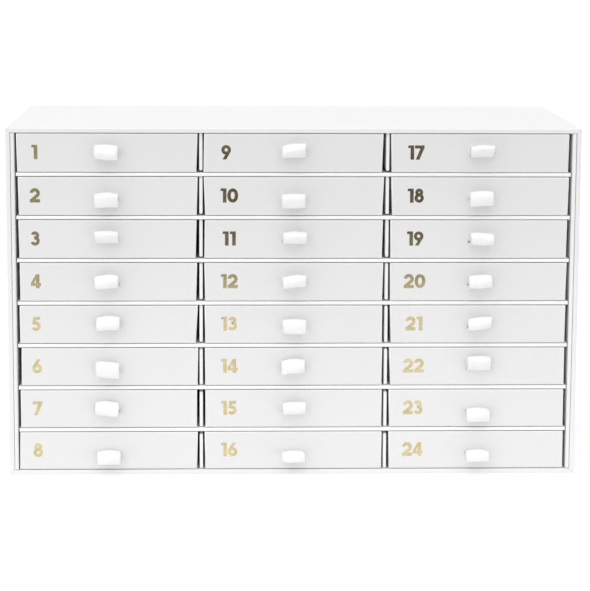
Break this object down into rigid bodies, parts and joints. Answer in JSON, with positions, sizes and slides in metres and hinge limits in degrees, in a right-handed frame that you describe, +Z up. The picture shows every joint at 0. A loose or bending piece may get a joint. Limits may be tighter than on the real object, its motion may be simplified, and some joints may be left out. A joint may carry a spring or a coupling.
{
  "type": "drawer advent calendar",
  "caption": "White rigid-paperboard cabinet of shallow numbered drawers in columns, each pulled open by a satin ribbon loop to reach the gift tray inside.",
  "frame": {"origin": "centre of the case's underside, on the surface it stands on", "axes": "+X to the right along the width, +Y from the drawer fronts towards the back, +Z up"},
  "size_m": [0.4, 0.1893, 0.246],
  "materials": {
    "case_board": "greyboard wrapped in smooth white coated paper, soft satin",
    "liner_board": "thinner board wrapped in white paper, matt",
    "insert_board": "white-lined board with smooth wrapped front edges",
    "drawer_board": "folded tray board with a satin-laminated white front",
    "satin_ribbon": "white woven satin ribbon",
    "gold_foil": "hot-stamped gold foil, polished"
  },
  "bodies": {
    "cabinet": {"outer_case": "case_board", "back_board": "case_board", "inner_liner": "liner_board", "shelf_1": "insert_board", "shelf_2": "insert_board", "shelf_3": "insert_board", "shelf_4": "insert_board", "shelf_5": "insert_board", "shelf_6": "insert_board", "shelf_7": "insert_board", "divider_1": "insert_board", "divider_2": "insert_board"},
    "drawer_01": {"drawer_01": "drawer_board", "ribbon_pull_01": "satin_ribbon"},
    "drawer_02": {"drawer_02": "drawer_board", "ribbon_pull_02": "satin_ribbon"},
    "drawer_03": {"drawer_03": "drawer_board", "ribbon_pull_03": "satin_ribbon"},
    "drawer_04": {"drawer_04": "drawer_board", "ribbon_pull_04": "satin_ribbon"},
    "drawer_05": {"drawer_05": "drawer_board", "ribbon_pull_05": "satin_ribbon"},
    "drawer_06": {"drawer_06": "drawer_board", "ribbon_pull_06": "satin_ribbon"},
    "drawer_07": {"drawer_07": "drawer_board", "ribbon_pull_07": "satin_ribbon"},
    "drawer_08": {"drawer_08": "drawer_board", "ribbon_pull_08": "satin_ribbon"},
    "drawer_09": {"drawer_09": "drawer_board", "ribbon_pull_09": "satin_ribbon"},
    "drawer_10": {"drawer_10": "drawer_board", "ribbon_pull_10": "satin_ribbon"},
    "drawer_11": {"drawer_11": "drawer_board", "ribbon_pull_11": "satin_ribbon"},
    "drawer_12": {"drawer_12": "drawer_board", "ribbon_pull_12": "satin_ribbon"},
    "drawer_13": {"drawer_13": "drawer_board", "ribbon_pull_13": "satin_ribbon"},
    "drawer_14": {"drawer_14": "drawer_board", "ribbon_pull_14": "satin_ribbon"},
    "drawer_15": {"drawer_15": "drawer_board", "ribbon_pull_15": "satin_ribbon"},
    "drawer_16": {"drawer_16": "drawer_board", "ribbon_pull_16": "satin_ribbon"},
    "drawer_17": {"drawer_17": "drawer_board", "ribbon_pull_17": "satin_ribbon"},
    "drawer_18": {"drawer_18": "drawer_board", "ribbon_pull_18": "satin_ribbon"},
    "drawer_19": {"drawer_19": "drawer_board", "ribbon_pull_19": "satin_ribbon"},
    "drawer_20": {"drawer_20": "drawer_board", "ribbon_pull_20": "satin_ribbon"},
    "drawer_21": {"drawer_21": "drawer_board", "ribbon_pull_21": "satin_ribbon"},
    "drawer_22": {"drawer_22": "drawer_board", "ribbon_pull_22": "satin_ribbon"},
    "drawer_23": {"drawer_23": "drawer_board", "ribbon_pull_23": "satin_ribbon"},
    "drawer_24": {"drawer_24": "drawer_board", "ribbon_pull_24": "satin_ribbon"}
  },
  "joints": [
    {"name": "drawer_01_slide", "type": "slide", "parent": "cabinet", "child": "drawer_01", "axis": [0, -1, 0], "range_m": [0, 0.15]},
    {"name": "drawer_02_slide", "type": "slide", "parent": "cabinet", "child": "drawer_02", "axis": [0, -1, 0], "range_m": [0, 0.15]},
    {"name": "drawer_03_slide", "type": "slide", "parent": "cabinet", "child": "drawer_03", "axis": [0, -1, 0], "range_m": [0, 0.15]},
    {"name": "drawer_04_slide", "type": "slide", "parent": "cabinet", "child": "drawer_04", "axis": [0, -1, 0], "range_m": [0, 0.15]},
    {"name": "drawer_05_slide", "type": "slide", "parent": "cabinet", "child": "drawer_05", "axis": [0, -1, 0], "range_m": [0, 0.15]},
    {"name": "drawer_06_slide", "type": "slide", "parent": "cabinet", "child": "drawer_06", "axis": [0, -1, 0], "range_m": [0, 0.15]},
    {"name": "drawer_07_slide", "type": "slide", "parent": "cabinet", "child": "drawer_07", "axis": [0, -1, 0], "range_m": [0, 0.15]},
    {"name": "drawer_08_slide", "type": "slide", "parent": "cabinet", "child": "drawer_08", "axis": [0, -1, 0], "range_m": [0, 0.15]},
    {"name": "drawer_09_slide", "type": "slide", "parent": "cabinet", "child": "drawer_09", "axis": [0, -1, 0], "range_m": [0, 0.15]},
    {"name": "drawer_10_slide", "type": "slide", "parent": "cabinet", "child": "drawer_10", "axis": [0, -1, 0], "range_m": [0, 0.15]},
    {"name": "drawer_11_slide", "type": "slide", "parent": "cabinet", "child": "drawer_11", "axis": [0, -1, 0], "range_m": [0, 0.15]},
    {"name": "drawer_12_slide", "type": "slide", "parent": "cabinet", "child": "drawer_12", "axis": [0, -1, 0], "range_m": [0, 0.15]},
    {"name": "drawer_13_slide", "type": "slide", "parent": "cabinet", "child": "drawer_13", "axis": [0, -1, 0], "range_m": [0, 0.15]},
    {"name": "drawer_14_slide", "type": "slide", "parent": "cabinet", "child": "drawer_14", "axis": [0, -1, 0], "range_m": [0, 0.15]},
    {"name": "drawer_15_slide", "type": "slide", "parent": "cabinet", "child": "drawer_15", "axis": [0, -1, 0], "range_m": [0, 0.15]},
    {"name": "drawer_16_slide", "type": "slide", "parent": "cabinet", "child": "drawer_16", "axis": [0, -1, 0], "range_m": [0, 0.15]},
    {"name": "drawer_17_slide", "type": "slide", "parent": "cabinet", "child": "drawer_17", "axis": [0, -1, 0], "range_m": [0, 0.15]},
    {"name": "drawer_18_slide", "type": "slide", "parent": "cabinet", "child": "drawer_18", "axis": [0, -1, 0], "range_m": [0, 0.15]},
    {"name": "drawer_19_slide", "type": "slide", "parent": "cabinet", "child": "drawer_19", "axis": [0, -1, 0], "range_m": [0, 0.15]},
    {"name": "drawer_20_slide", "type": "slide", "parent": "cabinet", "child": "drawer_20", "axis": [0, -1, 0], "range_m": [0, 0.15]},
    {"name": "drawer_21_slide", "type": "slide", "parent": "cabinet", "child": "drawer_21", "axis": [0, -1, 0], "range_m": [0, 0.15]},
    {"name": "drawer_22_slide", "type": "slide", "parent": "cabinet", "child": "drawer_22", "axis": [0, -1, 0], "range_m": [0, 0.15]},
    {"name": "drawer_23_slide", "type": "slide", "parent": "cabinet", "child": "drawer_23", "axis": [0, -1, 0], "range_m": [0, 0.15]},
    {"name": "drawer_24_slide", "type": "slide", "parent": "cabinet", "child": "drawer_24", "axis": [0, -1, 0], "range_m": [0, 0.15]}
  ]
}
